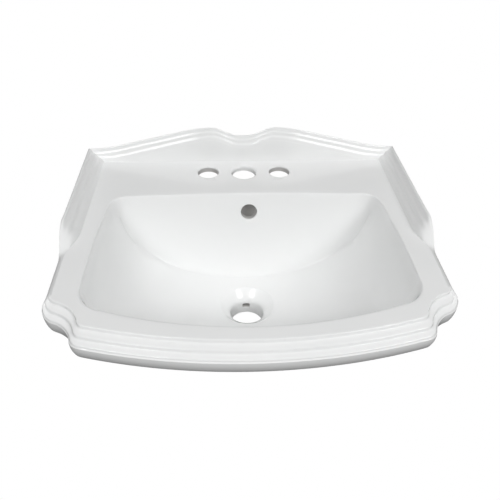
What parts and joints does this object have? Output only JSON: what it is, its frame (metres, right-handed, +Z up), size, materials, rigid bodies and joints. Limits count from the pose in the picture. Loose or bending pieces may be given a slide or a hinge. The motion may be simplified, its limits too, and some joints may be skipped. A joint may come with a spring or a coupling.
{
  "type": "pedestal basin",
  "caption": "Ceramic basin for a pedestal, with a stepped and scalloped rim, a humped backsplash, tap holes, an overflow and a hidden wall fixing set.",
  "frame": {"origin": "on the flat back face that meets the wall, on the centre line, at the height of the tap deck", "axes": "+X to the user's right, +Y into the wall, +Z up; the user stands at -Y"},
  "size_m": [0.45, 0.45, 0.2123],
  "materials": {
    "white_glazed_china": "gloss",
    "zinc_plated_steel": "satin zinc plate",
    "grey_nylon": "matt",
    "natural_nylon": "satin",
    "black_rubber": "matt",
    "white_plastic": "gloss"
  },
  "bodies": {
    "root": {"basin": "white_glazed_china", "wall_plug_left": "grey_nylon", "hanger_bolt_left": "zinc_plated_steel", "rubber_washer_left": "black_rubber", "flanged_sleeve_left": "natural_nylon", "steel_washer_left": "zinc_plated_steel", "hex_nut_left": "zinc_plated_steel", "nut_cap_left": "white_plastic", "wall_plug_right": "grey_nylon", "hanger_bolt_right": "zinc_plated_steel", "rubber_washer_right": "black_rubber", "flanged_sleeve_right": "natural_nylon", "steel_washer_right": "zinc_plated_steel", "hex_nut_right": "zinc_plated_steel", "nut_cap_right": "white_plastic"}
  },
  "joints": []
}
